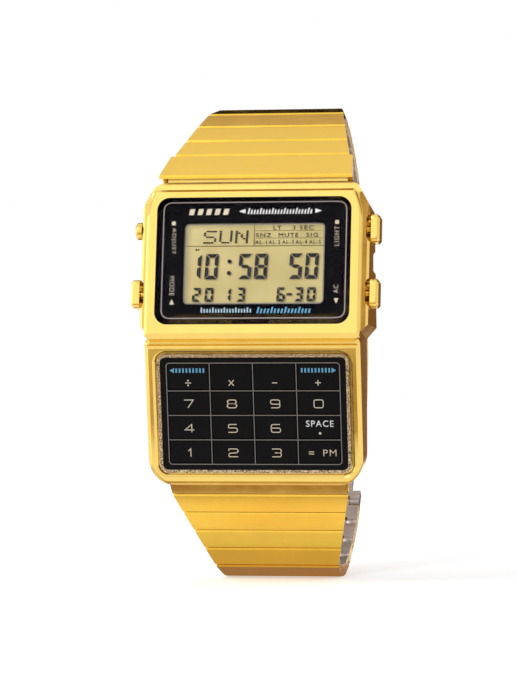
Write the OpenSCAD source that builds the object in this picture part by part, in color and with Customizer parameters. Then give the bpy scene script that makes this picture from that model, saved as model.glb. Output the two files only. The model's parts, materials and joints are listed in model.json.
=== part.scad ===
// Digital calculator watch with a hinged steel bracelet, in millimetres.
// +Z points to 12 o'clock, the display faces -Y and +X is the 3 o'clock side.
// The origin is the middle of the flat case back.

/* [Case] */
// Thickness of the case at the ridge between display and keypad
case_t = 8.2; // [8:0.1:9]
// Slope of both modules back from that ridge, in degrees
slope = 9.7; // [9:0.1:10.4]
// Height of that ridge above the middle of the case back
ridge_z = 1.1; // [0.6:0.1:1.6]
// Width of the display module
display_w = 32.8; // [32.4:0.1:33.2]
// Length of the display module, up its slope from the ridge
display_len = 21.75; // [21.4:0.05:22.3]
// Width of the keypad module
keypad_w = 32.8; // [32.4:0.1:33.4]
// Length of the keypad module, down its slope from the ridge
keypad_len = 23.95; // [23.6:0.05:24.6]
// Half-height of the valley between the two modules
valley = 1.1; // [0.9:0.05:1.3]
// Radius of the long curve that draws in the upper corners of the display module
sweep_r = 10; // [8:0.5:12]
// How far down the sides that curve reaches
sweep_len = 4.7; // [4:0.1:5.4]
// Radius of the lower corners of the case
low_corner_r = 4.4; // [3:0.1:5]
// Radius of the corners at the valley
valley_r = 0.8; // [0.75:0.05:1.2]
// Bevel along the sides and the top of the display module
display_bevel = 0.4; // [0.25:0.05:0.5]
// Bevel along its lower edge, at the valley
valley_bevel = 0.75; // [0.5:0.05:0.8]
// Bevel along the front edges of the keypad module
keypad_bevel = 0.6; // [0.4:0.05:0.75]
// Height of the steep foot along its lower edge
foot = 0.55; // [0.4:0.05:0.6]
// Depth of that foot
foot_t = 1.5; // [1.2:0.1:2]
// Step of the middle case above the display module
lip = 1.6; // [1.4:0.05:1.7]
// How far that step falls back towards its upper edge
lip_drop = 1; // [0.6:0.1:1.2]
// Height of the small corners at the ends of that step
lip_corner = 0.6; // [0.4:0.05:0.8]
// How far the shoulders of the middle case draw in towards that step
shoulder_in = 2.4; // [2.1:0.1:2.7]
// Depth of the middle case behind the face of the display module
middle_sink = 1.4; // [1:0.1:1.7]

/* [Pusher guards] */
// How far each pusher guard stands out beside the display module, at the back
guard_out = 1.5; // [1.3:0.05:1.7]
// How much narrower each guard is at the front
guard_flare = 0.5; // [0.3:0.05:0.7]
// Length of the sloping upper guard end, up to the small corner
guard_run_high = 4.3; // [3.9:0.1:4.4]
// Length of the sloping lower guard end
guard_run_low = 1.9; // [1.4:0.1:2.2]
// Depth of the notch between the two pushers of a side
notch = 0.48; // [0.3:0.02:0.6]
// How far the front of each guard falls back towards its outer edge
guard_drop = 0.3; // [0.1:0.05:0.4]
// Bevel along the front edge of the guards
guard_bevel = 0.35; // [0.2:0.05:0.5]

/* [Pushers] */
// How far a pusher stands out of its guard
pusher_out = 1; // [0.8:0.05:1.3]
// Length of a long pusher cap
pusher_len = 4.3; // [3.8:0.1:4.5]
// Height of a long pusher cap, front to back
pusher_t = 3.2; // [2.8:0.1:3.4]
// Diameter of the small round pusher
round_pusher_d = 2.7; // [2.2:0.1:3]
// Distance of the upper pushers from the ridge, up the slope
pusher_high = 16; // [15.7:0.05:16.2]
// Distance of the lower pushers from the ridge, up the slope
pusher_low = 6.15; // [5.9:0.05:6.4]
// Depth of the pusher axes behind the face of the display module
pusher_sink = 3.35; // [3.2:0.05:3.5]
// Travel of a pusher
pusher_travel = 0.7; // [0.4:0.05:0.8]
// Radius of a pusher stem
stem_r = 0.6; // [0.5:0.05:0.7]

/* [Display] */
// Width of the crystal
crystal_w = 29.6; // [29.2:0.1:30]
// Length of the crystal
crystal_len = 19.4; // [19.2:0.1:19.8]
// Thickness of the crystal
crystal_t = 1; // [0.8:0.05:1.1]
// Distance of the crystal from the ridge
crystal_start = 1.05; // [0.9:0.05:1.2]
// Radius of the crystal's corners
crystal_r = 1.9; // [1.4:0.05:2.2]
// Width of the window in the display mask
window_w = 21.5; // [20.5:0.1:22]
// Length of the window in the display mask
window_len = 12.45; // [11.8:0.05:12.8]
// Distance of the window from the ridge
window_start = 4.25; // [4:0.05:4.5]
// Thickness of the display mask
mask_t = 0.2; // [0.15:0.05:0.25]
// Thickness of the liquid crystal panel
lcd_t = 1.1; // [0.9:0.05:1.15]

/* [Keypad] */
// Width of one key cell
cell_w = 6.6; // [6.45:0.05:6.65]
// Height of one key cell in the three lower rows
cell_h = 3.75; // [3.6:0.05:3.8]
// Height of one key cell in the top row
first_cell_h = 4.25; // [4.05:0.05:4.3]
// Distance of the key grid from the ridge
grid_start = 4.97; // [4.9:0.01:5.1]
// Width of the rib between two keys
rib = 0.3; // [0.25:0.05:0.4]
// Gap around each key cap
key_gap = 0.06; // [0.05:0.01:0.1]
// Travel of a key
key_travel = 0.25; // [0.15:0.05:0.25]
// Black margin on both sides of the key grid
side_margin = 0.8; // [0.7:0.05:0.9]
// Black margin above and below the key grid
end_margin = 0.85; // [0.75:0.05:0.95]
// Width of the textured trim around the keypad
trim_w = 0.5; // [0.4:0.05:0.6]
// Gap between the trim and the case
trim_gap = 0.2; // [0.1:0.05:0.25]
// Depth of the textured trim below the face of the keypad module
trim_sink = 0.35; // [0.25:0.05:0.4]
// Depth of the keypad panel below the trim
panel_step = 0.1; // [0.05:0.05:0.15]
// Thickness of the keypad panel
panel_t = 0.7; // [0.6:0.05:0.75]

/* [Inside] */
// Thickness of the case back
back_t = 0.8; // [0.7:0.05:0.9]
// Diameter of the button cell
cell_d = 16; // [14:0.5:17]
// Thickness of the button cell
cell_t = 1.6; // [1.4:0.1:1.7]
// Thickness of the circuit board
board_t = 0.6; // [0.5:0.05:0.7]
// Width of the circuit board
board_w = 24; // [22:0.5:24]
// Length of the circuit board
board_len = 25; // [22:0.5:25]
// Radius of a case back screw's head
screw_head_r = 1.05; // [0.9:0.05:1.1]

/* [Bracelet] */
// Width of the bracelet at the case
band_w = 27; // [26:0.25:27.5]
// Width of the bracelet behind its taper
band_end_w = 18.4; // [18:0.2:19]
// Length of the taper
taper_len = 22; // [20:0.5:26]
// Slope of the upper run where it leaves the case, in degrees
upper_slope = 29.4; // [28:0.2:31]
// Slope of the lower run where it leaves the case, in degrees
lower_slope = 37; // [36:0.2:39]
// Bend radius of the upper run
upper_bend_r = 18.8; // [17:0.2:21]
// Bend radius of the lower run
lower_bend_r = 14.8; // [14:0.2:17]
// Height of the band's face above its hinge pins
face_h = 1.3; // [1.2:0.05:1.4]
// Thickness of the face of a bar
face_t = 0.5; // [0.4:0.05:0.5]
// Gap between the faces of two bars
bar_gap = 0.25; // [0.2:0.05:0.35]
// Bevel of a bar's face
bar_bevel = 0.22; // [0.1:0.02:0.3]
// Radius of a hinge knuckle
knuckle_r = 0.7; // [0.6:0.05:0.7]
// Width of the two outer knuckles of a bar
knuckle_w = 1.6; // [1.3:0.1:2]
// Radius of a hinge pin
pin_r = 0.35; // [0.3:0.01:0.38]
// Length of the end link from its spring bar to the first hinge
end_link_reach = 4.33; // [4.2:0.05:4.6]
// Width of the end link at the case
end_link_w = 29.6; // [28.8:0.1:30]
// How far each of its sides draws in on the way to the first hinge
end_link_draw = 0.8; // [0.4:0.05:1]
// Width of the end link's knuckle on each side of the case's tongue
end_knuckle_w = 1; // [0.8:0.05:1.4]
// Length of the case's lower lug, up from its hinge
lug_reach = 4.2; // [3.8:0.1:4.4]

/* [Clasp] */
// Radius of the clasp's curve at the hinge pins
clasp_r = 37.15; // [36.6:0.05:38]
// Distance of the middle of that curve behind the case back
clasp_y = 15.1; // [14.6:0.1:15.6]
// Height of the middle of that curve
clasp_z = -0.75; // [-1:0.05:-0.5]
// Angle of the catch's hinge on that curve, in degrees
catch_from = 43; // [42:0.5:44]
// Angle of the upper end of the cover
cover_top = 35.6; // [35:0.2:36]
// Angle of the hinge of the cover
cover_hinge = -17; // [-18:0.5:-16]
// Angle of the upper end of the adjusting strip
strip_top = 22; // [20:0.5:22.5]
// Angle of the hinge of the adjusting strip
strip_from = -44; // [-45:0.5:-43]
// Thickness of the adjusting strip
strip_t = 0.8; // [0.6:0.05:0.85]
// How much narrower the adjusting strip is than the band, on each side
strip_in = 1.5; // [1.3:0.05:1.7]
// Spacing of the ribs on the adjusting strip, in degrees
rib_step = 3.5; // [3:0.25:5]
// Thickness of the sheet of the clasp
sheet = 0.5; // [0.4:0.05:0.55]

/* [Hidden] */
$fn = 64;
tiny = 0.01;
fit = 0.05;
slip = 0.1;
// Reach of cuts and trims that go past the whole watch
far = 60;

KEYS = [["divide", "multiply", "minus", "plus"], ["7", "8", "9", "0"],
        ["4", "5", "6", "point"], ["1", "2", "3", "equals"]];
UPPER_BARS = 9;
LOWER_BARS = 10;

gold = "gold";
steel = "silver";

// Widths of the watch across its pusher guards and across its pushers
guard_w = display_w + 2 * guard_out;
over_pushers_w = guard_w + 2 * pusher_out;
// Depth to which the case is drawn behind both faces before its back is cut flat
case_depth = 2 * case_t;
foot_bevel = 0.4;

// Depths behind the face of the display module
crystal_sink = 0.1;
mask_top = crystal_sink + crystal_t;
lcd_top = mask_top + mask_t + fit;
lcd_under = lcd_top + lcd_t;
ledge_under = lcd_top + 0.8;

// Groove across the keypad module, just below its upper bevel
groove_top = -valley - 0.2 - keypad_bevel;
groove_w = 0.8;
groove_t = 0.3;

// Depths behind the face of the keypad module
panel_sink = trim_sink + panel_step;
panel_under = panel_sink + panel_t;
flange_top = panel_under + 0.03;
flange_t = 0.27;
mat_top = flange_top + flange_t + key_travel + fit;
mat_t = 0.55;
mat_under = mat_top + mat_t;

// Places along the two slopes
lcd_mid = window_start + window_len / 2;
lcd_w = window_w + 2.9;
lcd_len = window_len + 2.9;
lcd_r = 0.6;
window_r = 0.8;
grid_w = 4 * cell_w;
grid_len = first_cell_h + 3 * cell_h;
panel_w = grid_w + 2 * side_margin + rib;
panel_start = grid_start - end_margin;
panel_len = grid_len + 2 * end_margin;
panel_r = 0.8;
trim_r = panel_r + trim_w;
rim = trim_w + trim_gap + fit;
key_r = 0.35;

// Inside of the case, in the frame of the whole watch
cavity_w = 26.8;
cavity_top = 17.9;
cavity_low = -17.6;
back_w = 28.8;
back_top = 21.2;
back_low = -20.7;
back_r = 2;
screw_x = back_w / 2 - 1.75;
screw_high = back_top - 1.35;
screw_low = back_low + 1.35;
screw_r = 0.6;
screw_len = 1.8;
gasket_w = 0.5;
gasket_t = 0.45;
gasket_off = 0.25;
cell_y = -1.1;
frame_back = -back_t - 0.1;
board_back = cell_y - cell_t - 0.2;

// Where the bracelet meets the case
case_end = ridge_z + (display_len + lip) * cos(slope);
keypad_end = ridge_z - keypad_len * cos(slope);
spring_bar = [-0.9, case_end + 0.43];
spring_r = 0.5;
lug_r = 0.85;
lug_low = [0.5, 0.24 - keypad_end];
end_link_rise = 0.28;
end_link_nose = 2.65;
tongue_x = end_link_w / 2 - end_knuckle_w;

function unit(a) = [cos(a), sin(a)];
function normal(a) = [-sin(a), cos(a)];

upper_start = spring_bar + end_link_reach * unit(upper_slope) + end_link_rise * normal(upper_slope);

// A side of the bracelet: start, slope, bend radius, middle of the clasp's curve, end angle, bars.
// The lower side is written upside down and mirrored.
UPPER = [upper_start, upper_slope, upper_bend_r, [clasp_y, clasp_z], catch_from, UPPER_BARS];
LOWER = [lug_low, lower_slope, lower_bend_r, [clasp_y, -clasp_z], -strip_from, LOWER_BARS];

// The hinges lie on a straight run, an arc that bends it and the clasp's own curve, all tangent
function bend_from(s) = s[0] - s[2] * normal(s[1]) - s[3];
function run_len(s) = let (v = bend_from(s), b = v * unit(s[1]))
  -b + sqrt(b * b - v * v + pow(clasp_r - s[2], 2));
function bend_mid(s) = s[0] + run_len(s) * unit(s[1]) - s[2] * normal(s[1]);
function bend_end(s) = let (v = bend_mid(s) - s[3]) atan2(v[1], v[0]);
function bend_len(s) = s[2] * (s[1] + 90 - bend_end(s)) * PI / 180;
function side_len(s) = run_len(s) + bend_len(s) + clasp_r * (bend_end(s) - s[4]) * PI / 180;
function path(s, d) =
  d < run_len(s) ? s[0] + d * unit(s[1]) :
  d < run_len(s) + bend_len(s) ?
    bend_mid(s) + s[2] * unit(s[1] + 90 - (d - run_len(s)) / s[2] * 180 / PI) :
  s[3] + clasp_r * unit(bend_end(s) - (d - run_len(s) - bend_len(s)) / clasp_r * 180 / PI);
function pitch(s) = side_len(s) / s[5];
function hinge(s, i) = path(s, i * pitch(s));
function bar_len(s, i) = norm(hinge(s, i) - hinge(s, i - 1));
function bar_angle(s, i) = let (v = hinge(s, i) - hinge(s, i - 1)) atan2(v[1], v[0]);
function half_w(d) = max(band_end_w, band_w - (band_w - band_end_w) * d / taper_len) / 2;
function inner_w(d) = half_w(d) - knuckle_w;

// Rounded rectangle from y0 to y1, with radius low at its two lower corners
module rounded(w, y0, y1, r, low = 0) {
  l = low > 0 ? low : r;
  half = (y1 - y0) / 2;
  translate([-w / 2, y0 + l]) square([w, y1 - y0 - l - r]);
  translate([-w / 2 + l, y0]) square([w - 2 * l, half]);
  translate([-w / 2 + r, y0 + half]) square([w - 2 * r, half]);
  for (k = [-1, 1]) {
    translate([k * (w / 2 - l), y0 + l]) circle(l);
    translate([k * (w / 2 - r), y1 - r]) circle(r);
  }
}

// Extrusion along X of an outline in the Y and Z of the current frame, centred on X = 0
module along_x(len) {
  translate([-len / 2, 0, 0]) rotate([90, 0, 90]) linear_extrude(len) children();
}

// The same on both sides, from X = x0 to x1 and mirrored
module both_sides(x0, x1) {
  for (k = [0, 1]) mirror([k, 0, 0]) translate([(x0 + x1) / 2, 0, 0]) along_x(x1 - x0) children();
}

// The same outline as a slab whose upper edge has a bevel all round
module slab(w, y0, y1, r, top, t, bevel, low = 0) {
  l = low > 0 ? low : r;
  flat = w / 2 - bevel;
  mid = (y0 + y1) / 2;
  translate([0, 0, top - t]) linear_extrude(t - bevel) rounded(w, y0, y1, r, l);
  translate([0, 0, top - bevel]) {
    for (k = [-1, 1]) {
      translate([k * (w / 2 - l), y0 + l, 0]) cylinder(h = bevel, r1 = l, r2 = l - bevel);
      translate([k * (w / 2 - r), y1 - r, 0]) cylinder(h = bevel, r1 = r, r2 = r - bevel);
    }
    translate([0, y1 - r, 0]) rotate([90, 0, 0]) linear_extrude(y1 - y0 - l - r)
      polygon([[-w / 2, 0], [w / 2, 0], [flat, bevel], [-flat, bevel]]);
    along_x(w - 2 * l) polygon([[y0, 0], [mid, 0], [mid, bevel], [y0 + bevel, bevel]]);
    along_x(w - 2 * r) polygon([[mid, 0], [y1, 0], [y1 - bevel, bevel], [mid, bevel]]);
  }
}

// Cut for a recess of that outline whose rim is bevelled outwards at z = 0
module flared(w, y0, y1, r, bevel) {
  mirror([0, 0, 1])
    slab(w + 2 * bevel, y0 - bevel, y1 + bevel, r + bevel, bevel, bevel + 1, bevel);
}

// Frames on the two sloping faces: X right, Y up the slope and Z out of the face
module on_display() {
  translate([0, -case_t, ridge_z]) rotate([90 - slope, 0, 0]) children();
}

module on_keypad() {
  translate([0, -case_t, ridge_z]) rotate([90 + slope, 0, 0]) children();
}

// Everything in front of the plane of the case back
module before_back() {
  translate([-far / 2, -far / 2, -far]) cube([far, far / 2, 2 * far]);
}

// Outline seen from behind, pushed from y0 to y1 along Y
module from_back(y0, y1) {
  translate([0, y1, 0]) rotate([90, 0, 0]) linear_extrude(y1 - y0) children();
}

// Space behind both faces, at least display_depth and keypad_depth below them
module under_faces(display_depth, keypad_depth) {
  intersection() {
    on_display() translate([-far / 2, -far, -far - display_depth]) cube([far, 2 * far, far]);
    on_keypad() translate([-far / 2, -far, -far - keypad_depth]) cube([far, 2 * far, far]);
  }
}

// Outline of the middle case with its shoulders and both guards, on the face of the display
module middle_outline() {
  x1 = guard_w / 2;
  x3 = x1 - shoulder_in;
  low = -0.1;
  top = display_len + lip;
  mid = (pusher_low + pusher_high) / 2 + 0.4;
  side = [[display_w / 2 - 1, low - 1], [display_w / 2 - 0.2, low], [x1, low + guard_run_low],
          [x1, mid - 1.9], [x1 - notch, mid - 1.2], [x1 - notch, mid + 1.2], [x1, mid + 1.9],
          [x1, top - lip_corner - guard_run_high], [x3, top - lip_corner], [x3 - 2 * lip_corner, top]];
  for (k = [0, 1]) mirror([k, 0]) polygon(concat(side, [[-1, top], [-1, low - 1]]));
}

// Section of the middle case, seen along the sloping face: flaring out towards the back
module middle_section() {
  x1 = guard_w / 2;
  x0 = x1 - guard_flare;
  front = -middle_sink - guard_drop;
  for (k = [0, 1]) mirror([k, 0])
    polygon([[-1, -case_depth], [x1, -case_depth], [x1, -case_t], [x0, front - guard_bevel],
             [x0 - guard_bevel, front], [display_w / 2 - 0.3, -middle_sink], [-1, -middle_sink]]);
}

// Middle case around the upper end of the display module, and the guards on its two sides
module middle_case() {
  top = display_len + lip;
  on_display() intersection() {
    translate([0, 0, -case_depth]) linear_extrude(case_depth) middle_outline();
    translate([0, far / 2, 0]) rotate([90, 0, 0]) linear_extrude(far) middle_section();
    along_x(far) polygon([[-far / 2, -far], [top, -far], [top, -middle_sink - lip_drop],
                          [display_len - 0.3, -middle_sink], [display_len - 0.3, 1], [-far / 2, 1]]);
  }
}

// Display module: its sides curve in at the top, where it is cut off straight
module display_module() {
  on_display() intersection() {
    slab(display_w, -valley, display_len - sweep_len + sweep_r, sweep_r, 0, case_depth, display_bevel,
         valley_r);
    along_x(far) polygon([[-valley, -far], [display_len, -far], [display_len, -display_bevel],
                          [display_len - display_bevel - 1, 1], [-valley + valley_bevel + 1, 1],
                          [-valley, -valley_bevel]]);
  }
}

// Keypad module, with a bevel and a steep foot along its lower edge
module keypad_module() {
  shin = keypad_len - foot;
  on_keypad() mirror([0, 1, 0]) intersection() {
    slab(keypad_w, valley + 0.15, keypad_len, low_corner_r, 0, case_depth, keypad_bevel, valley_r);
    along_x(far) polygon([[-far / 2, -far], [keypad_len, -far], [keypad_len, -foot_t - foot_bevel],
                          [shin, -foot_bevel], [shin - foot_bevel - 1, 1], [-far / 2, 1]]);
  }
}

// Lower lug of the case: it ends flush with the first bar and holds that bar's pin
module lower_lug() {
  mirror([0, 0, 1]) translate([0, lug_low[0], lug_low[1]]) rotate([lower_slope, 0, 0]) {
    along_x(band_w) face_profile(-lug_reach, -bar_gap / 2);
    block(band_w / 2, -lug_reach, -core_in, core_z, face_h - face_t + tiny);
    middle_knuckle(0, inner_w(0));
  }
}

// Tongue of the case around the spring bar of the end link
module tongue() {
  translate([0, spring_bar[0], spring_bar[1]]) rotate([0, 90, 0])
    cylinder(h = 2 * tongue_x, r = lug_r, center = true);
  translate([-tongue_x, spring_bar[0] - lug_r, spring_bar[1] - 3]) cube([2 * tongue_x, 2 * lug_r, 3]);
}

module pusher_frame(side, s) {
  mirror([side < 0 ? 1 : 0, 0, 0]) on_display() translate([0, s, -pusher_sink]) rotate([90, 0, 90])
    children();
}

// Both windows, the groove, the module's space, the recess of the case back and the bores
module case_cuts() {
  on_display() {
    translate([0, 0, -mask_top - mask_t]) linear_extrude(5)
      rounded(crystal_w + 2 * fit, crystal_start - fit, crystal_start + crystal_len + fit,
              crystal_r + fit);
    translate([0, 0, -ledge_under - 1]) linear_extrude(5)
      rounded(lcd_w + 2 * fit, lcd_mid - lcd_len / 2 - fit, lcd_mid + lcd_len / 2 + fit, lcd_r + fit);
  }
  on_keypad() {
    translate([0, 0, -panel_under]) linear_extrude(5)
      rounded(panel_w + 2 * rim, -panel_start - panel_len - rim, -panel_start + rim, panel_r + rim);
    flared(panel_w + 2 * rim, -panel_start - panel_len - rim, -panel_start + rim, panel_r + rim,
           trim_sink);
    along_x(far) polygon([[groove_top, 0], [groove_top - groove_w / 2, -groove_t],
                          [groove_top - groove_w, 0], [groove_top - groove_w / 2, 1]]);
    translate([0, 0, -mat_under - 0.1]) linear_extrude(5)
      rounded(grid_w + 0.3, -grid_start - grid_len - 0.2, -grid_start + 0.2, 0.5);
    translate([-grid_w / 2 - 0.3, -grid_start - grid_len - 0.35, -mat_under - 0.1])
      cube([grid_w + 0.6, grid_len + 0.7, mat_t + 0.1]);
  }
  intersection() {
    under_faces(ledge_under, mat_top);
    from_back(-case_t, 1) rounded(cavity_w, cavity_low, cavity_top, 1.2);
  }
  from_back(-back_t - fit, 1)
    rounded(back_w + 2 * fit, back_low - fit, back_top + fit, back_r + fit);
  from_back(-back_t - fit - gasket_t, 0) difference() {
    gasket_outline(gasket_off + gasket_w + fit);
    gasket_outline(gasket_off - fit);
  }
  for (x = [-1, 1] * screw_x, z = [screw_low, screw_high])
    translate([x, -back_t - 1.2, z]) rotate([-90, 0, 0]) cylinder(h = 3, r = screw_r + tiny);
  for (side = [-1, 1], s = [pusher_low, pusher_high]) pusher_cuts(side, s);
  translate([0, spring_bar[0], spring_bar[1]]) rotate([0, 90, 0])
    cylinder(h = far, r = spring_r + fit, center = true);
  translate([0, lug_low[0], -lug_low[1]]) rotate([0, 90, 0])
    cylinder(h = far, r = pin_r + fit, center = true);
}

module gasket_outline(off) {
  rounded(cavity_w + 2 * off, cavity_low - off, cavity_top + off, 1.2 + off);
}

cap_floor = display_w / 2 + 0.35;
cap_in = cap_floor + pusher_travel + 0.1;
stem_in = cavity_w / 2 - 0.15;
clip_r = 1.05;
clip_t = 0.25;
stem_end = 0.3;

module pusher_cuts(side, s) {
  pusher_frame(side, s) {
    translate([0, 0, 10]) cylinder(h = 10, r = stem_r + fit);
    translate([0, 0, cap_floor]) linear_extrude(5)
      if (side < 0 && s == pusher_high) circle(round_pusher_d / 2 + slip);
      else rounded(pusher_len + 2 * slip, -pusher_t / 2 - slip, pusher_t / 2 + slip, 0.8);
  }
}

// Both modules, the middle case and the tongue, cut flat at the plane of the case back, and the lug
module case_body() {
  color(gold) difference() {
    union() {
      intersection() {
        union() {
          display_module();
          keypad_module();
          middle_case();
          tongue();
        }
        before_back();
      }
      lower_lug();
    }
    case_cuts();
  }
}

module crystal() {
  color([0.75, 0.85, 0.9, 0.35]) on_display()
    slab(crystal_w, crystal_start, crystal_start + crystal_len, crystal_r, -crystal_sink, crystal_t, 0.15);
}

module display_mask() {
  color("black") on_display() translate([0, 0, -mask_top - mask_t]) linear_extrude(mask_t)
    difference() {
      rounded(crystal_w, crystal_start, crystal_start + crystal_len, crystal_r);
      rounded(window_w, window_start, window_start + window_len, window_r);
    }
}

module lcd_panel() {
  color("khaki") on_display() translate([0, 0, -lcd_under]) linear_extrude(lcd_t)
    rounded(lcd_w, lcd_mid - lcd_len / 2, lcd_mid + lcd_len / 2, lcd_r);
}

// Middle of a key on the keypad, and its cell's height
function row_h(row) = row == 0 ? first_cell_h : cell_h;
function row_mid(row) =
  -grid_start - (row == 0 ? first_cell_h / 2 : first_cell_h + (row - 0.5) * cell_h);
function col_mid(col) = (col - 1.5) * cell_w;

module key_outline(row, gap) {
  w = cell_w - rib - 2 * gap;
  h = row_h(row) - rib - 2 * gap;
  rounded(w, -h / 2, h / 2, key_r);
}

module keypad_panel() {
  color("black") on_keypad() translate([0, 0, -panel_under]) linear_extrude(panel_t)
    difference() {
      rounded(panel_w, -panel_start - panel_len, -panel_start, panel_r);
      for (row = [0:3], col = [0:3]) translate([col_mid(col), row_mid(row)]) key_outline(row, 0);
    }
}

module keypad_trim() {
  color("darkgoldenrod") on_keypad() translate([0, 0, -panel_under])
    linear_extrude(panel_t + panel_step) difference() {
      rounded(panel_w + 2 * trim_w, -panel_start - panel_len - trim_w, -panel_start + trim_w,
              trim_r);
      rounded(panel_w + 2 * tiny, -panel_start - panel_len - tiny, -panel_start + tiny,
              panel_r + tiny);
    }
}

module key_mat() {
  color("dimgray") on_keypad()
    translate([-grid_w / 2 - 0.2, -grid_start - grid_len - 0.25, -mat_under])
      cube([grid_w + 0.4, grid_len + 0.5, mat_t]);
}

// Cap, a little proud of the ribs, and the flange that keeps it under the panel
module key(row, col) {
  color("black") on_keypad() translate([col_mid(col), row_mid(row), 0]) {
    w = cell_w - rib - 2 * key_gap;
    h = row_h(row) - rib - 2 * key_gap;
    slab(w, -h / 2, h / 2, key_r, -panel_sink + 0.05, panel_t + 0.1, 0.08);
    translate([0, 0, -flange_top - flange_t]) linear_extrude(flange_t)
      rounded(w + 0.24, -h / 2 - 0.12, h / 2 + 0.12, key_r);
  }
}

module module_frame() {
  color("gainsboro") difference() {
    intersection() {
      under_faces(lcd_under + fit, mat_under + fit);
      from_back(-case_t, frame_back)
        rounded(cavity_w - 2 * slip, cavity_low + slip, cavity_top - slip, 1.1);
    }
    from_back(-case_t, board_back)
      square([board_w + 2 * slip, board_len + 2 * slip], center = true);
    from_back(-case_t, 0) circle(cell_d / 2 + slip);
    for (side = [-1, 1], s = [pusher_low, pusher_high]) pusher_frame(side, s)
      translate([0, 0, stem_in - clip_t - stem_end - pusher_travel - 0.2])
        cylinder(h = 5, r = clip_r + 0.2);
  }
}

// Board, the chip under its black drop of resin and the quartz crystal's can
module circuit_board() {
  color("darkgreen") {
    from_back(board_back - board_t, board_back) square([board_w, board_len], center = true);
    from_back(board_back - board_t - 0.5, board_back - board_t - tiny) circle(2.6);
    translate([-8, board_back - board_t - 0.45, -2.2]) cylinder(h = 4.4, r = 0.42);
  }
}

module battery() {
  color(steel) {
    from_back(cell_y - cell_t + 0.3, cell_y) circle(cell_d / 2);
    from_back(cell_y - cell_t, cell_y - cell_t + 0.3) circle(cell_d / 2 - 0.9);
  }
}

module case_back() {
  color(steel) difference() {
    from_back(-back_t, 0) rounded(back_w, back_low, back_top, back_r);
    for (x = [-1, 1] * screw_x, z = [screw_low, screw_high]) translate([x, 0, z]) rotate([-90, 0, 0]) {
      translate([0, 0, -2]) cylinder(h = 3, r = screw_r + fit);
      translate([0, 0, -0.4]) cylinder(h = 1, r = screw_head_r + fit);
    }
  }
}

module back_gasket() {
  color("black") from_back(-back_t - fit - gasket_t + tiny, -back_t - fit) difference() {
    gasket_outline(gasket_off + gasket_w);
    gasket_outline(gasket_off);
  }
}

module back_screws() {
  color("dimgray") for (x = [-1, 1] * screw_x, z = [screw_low, screw_high])
    translate([x, 0, z]) rotate([-90, 0, 0]) difference() {
      union() {
        translate([0, 0, -0.4]) cylinder(h = 0.38, r = screw_head_r);
        translate([0, 0, -screw_len]) cylinder(h = screw_len - 0.39, r = screw_r);
      }
      for (a = [0, 90]) rotate(a) translate([-0.7, -0.12, -0.25]) cube([1.4, 0.24, 1]);
    }
}

// Cap outside the case, stem through its wall and retaining clip inside
module pusher(side, s, round_cap) {
  top = over_pushers_w / 2 - (round_cap ? 0.3 : 0);
  color(gold) pusher_frame(side, s) {
    if (round_cap) {
      translate([0, 0, cap_in]) cylinder(h = top - cap_in - 0.3, r = round_pusher_d / 2);
      translate([0, 0, top - 0.3])
        cylinder(h = 0.3, r1 = round_pusher_d / 2, r2 = round_pusher_d / 2 - 0.3);
    } else {
      slab(pusher_len, -pusher_t / 2, pusher_t / 2, 0.7, top, top - cap_in, 0.35);
    }
    translate([0, 0, stem_in - clip_t - stem_end])
      cylinder(h = cap_in - stem_in + clip_t + stem_end + 0.1, r = stem_r);
    translate([0, 0, stem_in - clip_t]) difference() {
      cylinder(h = clip_t, r = clip_r);
      translate([0, 0, -1]) cylinder(h = 3, r = stem_r + tiny);
    }
  }
}

// Cylinder along X at a place in the frame of a bar
module rod(y, z, r, w) {
  translate([0, y, z]) rotate([0, 90, 0]) cylinder(h = w, r = r, center = true);
}

module block(x, y0, y1, z0, z1) {
  translate([-x, y0, z0]) cube([2 * x, y1 - y0, z1 - z0]);
}

core_in = 1;
core_z = -0.5;

// Knuckle between the outer knuckles of the next piece, at y = len
module middle_knuckle(len, w) {
  along_x(2 * w) {
    translate([len, 0]) circle(knuckle_r);
    translate([len - core_in - 0.2, core_z])
      square([core_in + 0.2, face_h - face_t - core_z + tiny]);
  }
}

// The two outer knuckles at y = 0, with the webs that join them to the core
module outer_knuckles(inner, outer) {
  both_sides(inner + slip, outer) {
    circle(knuckle_r);
    translate([0, core_z]) square([core_in + 0.2, face_h - face_t - core_z + tiny]);
  }
}

module outer_bores(inner) {
  both_sides(inner - 0.5, inner + knuckle_w + 1) circle(pin_r + tiny);
}

module face_profile(y0, y1) {
  polygon([[y0, face_h - face_t], [y1, face_h - face_t], [y1, face_h - bar_bevel],
           [y1 - bar_bevel, face_h], [y0 + bar_bevel, face_h], [y0, face_h - bar_bevel]]);
}

// One bar of the bracelet: face, core and knuckles, with its hinge pin as a second solid
module bar(s, i) {
  len = bar_len(s, i);
  near = half_w((i - 1) * pitch(s));
  drawn_in = (near - half_w(i * pitch(s))) / len;
  inner = inner_w((i - 1) * pitch(s));
  translate([0, hinge(s, i - 1)[0], hinge(s, i - 1)[1]]) rotate([bar_angle(s, i), 0, 0]) {
    difference() {
      intersection() {
        union() {
          along_x(band_w + 2) face_profile(bar_gap / 2, len - bar_gap / 2);
          block(band_w / 2 + 1, core_in, len - core_in, core_z, face_h - face_t + tiny);
          middle_knuckle(len, inner_w(i * pitch(s)));
          outer_knuckles(inner, band_w / 2 + 1);
        }
        translate([0, 0, -far / 2]) linear_extrude(far)
          polygon([[-near - drawn_in, -1], [near + drawn_in, -1], [near - drawn_in * (len + 1), len + 1],
                   [drawn_in * (len + 1) - near, len + 1]]);
      }
      outer_bores(inner);
      rod(len, 0, pin_r + fit, band_w);
    }
    rod(0, 0, pin_r, 2 * near - 0.6);
  }
}

module upper_bar(i) {
  color(gold) bar(UPPER, i);
}

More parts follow.
